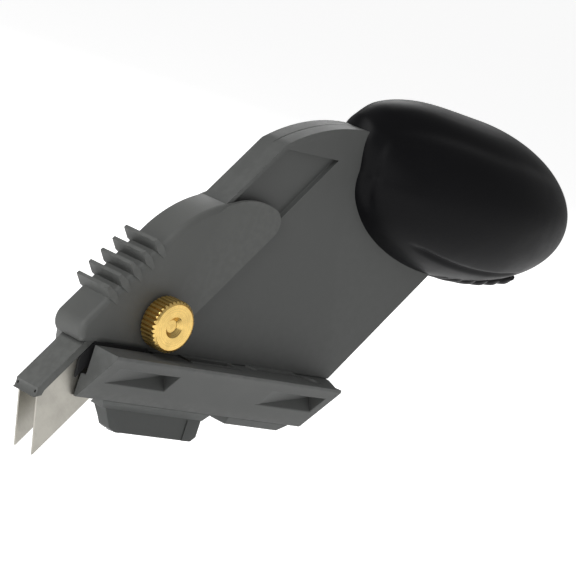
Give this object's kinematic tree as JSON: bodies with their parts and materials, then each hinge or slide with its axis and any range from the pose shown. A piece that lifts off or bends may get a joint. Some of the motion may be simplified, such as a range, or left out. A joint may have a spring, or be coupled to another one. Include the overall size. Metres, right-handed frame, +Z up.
{
  "type": "utility knife",
  "caption": "Palm-held cutter with a slanted bar on a V shoe, a ribbed saddle that slides parallel trapezoid blades along the bar, and a knurled brass clamp nut.",
  "frame": {"origin": "on the shoe's flat sole, on the mid-plane, in the land between the guide foot and the rear strip", "axes": "+X to the rear, towards the palm grip; +Y to the side without the brass nut; +Z up, square to the sole"},
  "size_m": [0.2059, 0.06, 0.1303],
  "materials": {
    "body_plastic": "moulded ABS, mid grey, fine spark-eroded grain",
    "slide_plastic": "moulded nylon, mid grey, satin",
    "shoe_plastic": "moulded glass-filled nylon, mid grey, satin",
    "foot_plastic": "moulded acetal, dark grey, satin",
    "core_plastic": "moulded ABS, black",
    "grip_rubber": "soft-touch thermoplastic rubber, satin black",
    "blade_steel": "ground and hardened carbon steel",
    "keeper_steel": "stamped spring steel, black oxide",
    "brass": "turned brass, bright",
    "screw_steel": "zinc-plated steel"
  },
  "bodies": {
    "tool_body": {"body_left_shell": "body_plastic", "body_right_shell": "body_plastic", "shell_screws": "screw_steel", "shell_dowels": "screw_steel", "shoe": "shoe_plastic", "shoe_screws": "screw_steel", "guide_foot": "foot_plastic", "sole_strip": "foot_plastic", "foot_screws": "screw_steel", "strip_screws": "screw_steel", "grip_core_left": "core_plastic", "grip_core_right": "core_plastic", "core_screws": "screw_steel", "grip_cover": "grip_rubber", "grip_pad": "grip_rubber"},
    "carriage": {"thumb_slide": "slide_plastic", "blade_holder": "slide_plastic", "blade_left": "blade_steel", "blade_right": "blade_steel", "keeper_left": "keeper_steel", "keeper_right": "keeper_steel", "stud_bush": "foot_plastic", "clamp_stud": "brass", "nut_washer": "screw_steel", "stud_washer": "screw_steel"},
    "nut": {"thumb_nut": "brass"}
  },
  "joints": [
    {"name": "blade_depth", "type": "slide", "parent": "tool_body", "child": "carriage", "axis": [0.6157, 0, 0.788], "range_m": [-0.0016, 0.0234]},
    {"name": "nut_turn", "type": "hinge", "parent": "carriage", "child": "nut", "pos_m": [-0.03999, -0.0109, 0.02727], "axis": [0, -1, 0], "continuous": true}
  ]
}
